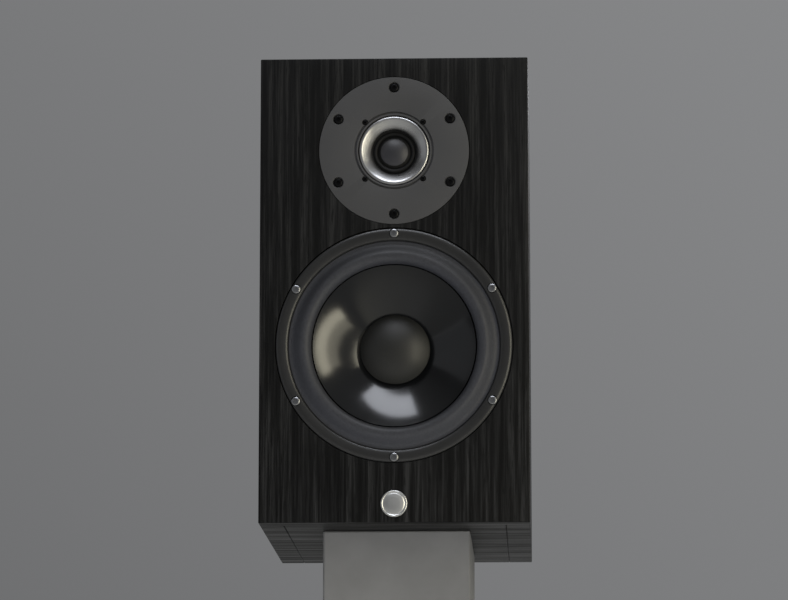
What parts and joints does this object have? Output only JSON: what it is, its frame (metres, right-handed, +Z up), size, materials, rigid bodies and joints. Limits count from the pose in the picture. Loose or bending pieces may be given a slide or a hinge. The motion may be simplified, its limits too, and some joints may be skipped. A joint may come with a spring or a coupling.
{
  "type": "bookshelf speaker",
  "caption": "Two-way bookshelf loudspeaker: veneered box, dome tweeter with flared ring, cone woofer, rear reflex port and binding posts with turning knobs.",
  "frame": {"origin": "middle of the cabinet's underside, on the surface it stands on", "axes": "+Z up, -Y the way the baffle and drivers face, +X to the right seen from the front"},
  "size_m": [0.2, 0.2962, 0.35],
  "materials": {
    "black_ash_veneer": "black-stained open-grain ash veneer, satin lacquer",
    "raw_fibreboard": "raw medium-density fibreboard",
    "wadding": "bonded polyester wadding",
    "cast_frame_black": "cast, fine black texture paint",
    "surround_rubber": "moulded butyl rubber, satin",
    "cone_polypropylene": "glossy near-black",
    "dust_cap_fibre": "matt coated",
    "faceplate_grey": "anodised dark grey, bead-blasted",
    "polished_aluminium": "polished",
    "coated_silk": "coated woven silk dome",
    "copper_wire": "enamelled copper winding",
    "plated_steel": "zinc-plated",
    "ferrite": "sintered, ground faces",
    "spider_cloth": "resin-treated corrugated cotton",
    "black_screw": "black oxide steel",
    "bright_screw": "nickel-plated",
    "badge_metal": "satin, domed",
    "black_plastic": "moulded ABS, fine texture",
    "black_knob_plastic": "moulded, satin gloss",
    "red_knob_plastic": "moulded, satin gloss",
    "post_brass": "gold-flashed brass",
    "circuit_board": "glass-epoxy with green mask",
    "resistor_ceramic": "white cement body",
    "capacitor_film": "yellow film wrap",
    "red_insulation": "PVC insulation",
    "black_insulation": "PVC insulation"
  },
  "bodies": {
    "cabinet_body": {"front_baffle": "black_ash_veneer", "back_panel": "black_ash_veneer", "left_side": "black_ash_veneer", "right_side": "black_ash_veneer", "top_panel": "black_ash_veneer", "bottom_panel": "black_ash_veneer", "brace": "raw_fibreboard", "left_lining": "wadding", "right_lining": "wadding", "rear_lining": "wadding", "badge": "badge_metal", "tweeter_faceplate": "faceplate_grey", "tweeter_ring": "polished_aluminium", "tweeter_surround": "coated_silk", "tweeter_top_plate": "plated_steel", "tweeter_magnet": "ferrite", "tweeter_yoke": "plated_steel", "tweeter_rear_cup": "black_plastic", "tweeter_screw_1": "black_screw", "tweeter_screw_2": "black_screw", "tweeter_screw_3": "black_screw", "tweeter_screw_4": "black_screw", "tweeter_screw_5": "black_screw", "tweeter_screw_6": "black_screw", "woofer_frame": "cast_frame_black", "woofer_gasket": "surround_rubber", "woofer_surround": "surround_rubber", "woofer_spider": "spider_cloth", "woofer_top_plate": "plated_steel", "woofer_magnet": "ferrite", "woofer_yoke": "plated_steel", "woofer_screw_1": "bright_screw", "woofer_screw_2": "bright_screw", "woofer_screw_3": "bright_screw", "woofer_screw_4": "bright_screw", "woofer_screw_5": "bright_screw", "woofer_screw_6": "bright_screw", "port_tube": "black_plastic", "terminal_plate": "black_plastic", "red_post": "post_brass", "black_post": "post_brass", "crossover_board": "circuit_board", "bass_inductor": "copper_wire", "treble_inductor": "copper_wire", "bass_capacitor": "capacitor_film", "treble_capacitor": "capacitor_film", "resistor": "resistor_ceramic", "woofer_lead": "black_insulation", "tweeter_lead": "red_insulation", "input_lead_red": "red_insulation", "input_lead_black": "black_insulation"},
    "woofer_cone_body": {"woofer_cone": "cone_polypropylene", "woofer_dust_cap": "dust_cap_fibre", "woofer_voice_coil": "copper_wire"},
    "tweeter_dome_body": {"tweeter_dome": "coated_silk", "tweeter_voice_coil": "copper_wire"},
    "red_washer_body": {"red_clamp_washer": "post_brass"},
    "red_knob_body": {"red_knob": "red_knob_plastic"},
    "black_washer_body": {"black_clamp_washer": "post_brass"},
    "black_knob_body": {"black_knob": "black_knob_plastic"}
  },
  "joints": [
    {"name": "woofer_stroke", "type": "slide", "parent": "cabinet_body", "child": "woofer_cone_body", "axis": [0, -1, 0], "range_m": [-0.006, 0.006], "stiffness_N_per_m": 1200, "deforming": ["woofer_surround", "woofer_spider"]},
    {"name": "tweeter_stroke", "type": "slide", "parent": "cabinet_body", "child": "tweeter_dome_body", "axis": [0, -1, 0], "range_m": [-0.0005, 0.0005], "stiffness_N_per_m": 12000, "deforming": ["tweeter_surround"]},
    {"name": "red_knob_travel", "type": "slide", "parent": "cabinet_body", "child": "red_washer_body", "axis": [0, 1, 0], "range_m": [0, 0.005]},
    {"name": "red_knob_turn", "type": "hinge", "parent": "red_washer_body", "child": "red_knob_body", "pos_m": [0.014, 0.15, 0.1], "axis": [0, 1, 0], "range_deg": [0, 1800]},
    {"name": "black_knob_travel", "type": "slide", "parent": "cabinet_body", "child": "black_washer_body", "axis": [0, 1, 0], "range_m": [0, 0.005]},
    {"name": "black_knob_turn", "type": "hinge", "parent": "black_washer_body", "child": "black_knob_body", "pos_m": [-0.014, 0.15, 0.1], "axis": [0, 1, 0], "range_deg": [0, 1800]}
  ],
  "couplings": [
    {"joint": "red_knob_travel", "follows": "red_knob_turn", "m_per_rad": 0.00015915},
    {"joint": "black_knob_travel", "follows": "black_knob_turn", "m_per_rad": 0.00015915}
  ]
}
